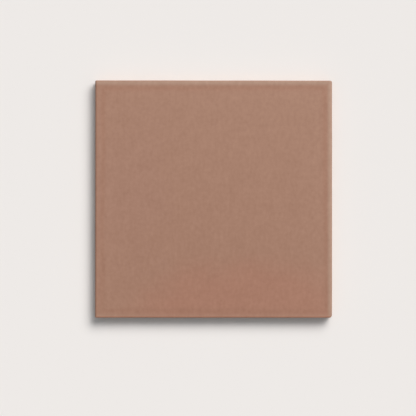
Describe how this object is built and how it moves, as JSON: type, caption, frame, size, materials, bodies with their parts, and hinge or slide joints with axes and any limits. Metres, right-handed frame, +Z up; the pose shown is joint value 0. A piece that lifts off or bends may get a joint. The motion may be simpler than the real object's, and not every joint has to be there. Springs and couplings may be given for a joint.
{
  "type": "ceramic wall tile",
  "caption": "Square glazed ceramic wall tile, flat, with a matte terracotta face that rolls over at its edges and a waffle-pocketed back for adhesive.",
  "frame": {"origin": "middle of the back, level with the ribs that the tile rests on", "axes": "+Z up out of the glazed face, +X to the right and +Y away from the viewer as the picture shows the face"},
  "size_m": [0.15, 0.15, 0.008],
  "materials": {
    "glaze": "matte"
  },
  "bodies": {
    "root": {"tile": "glaze"}
  },
  "joints": []
}
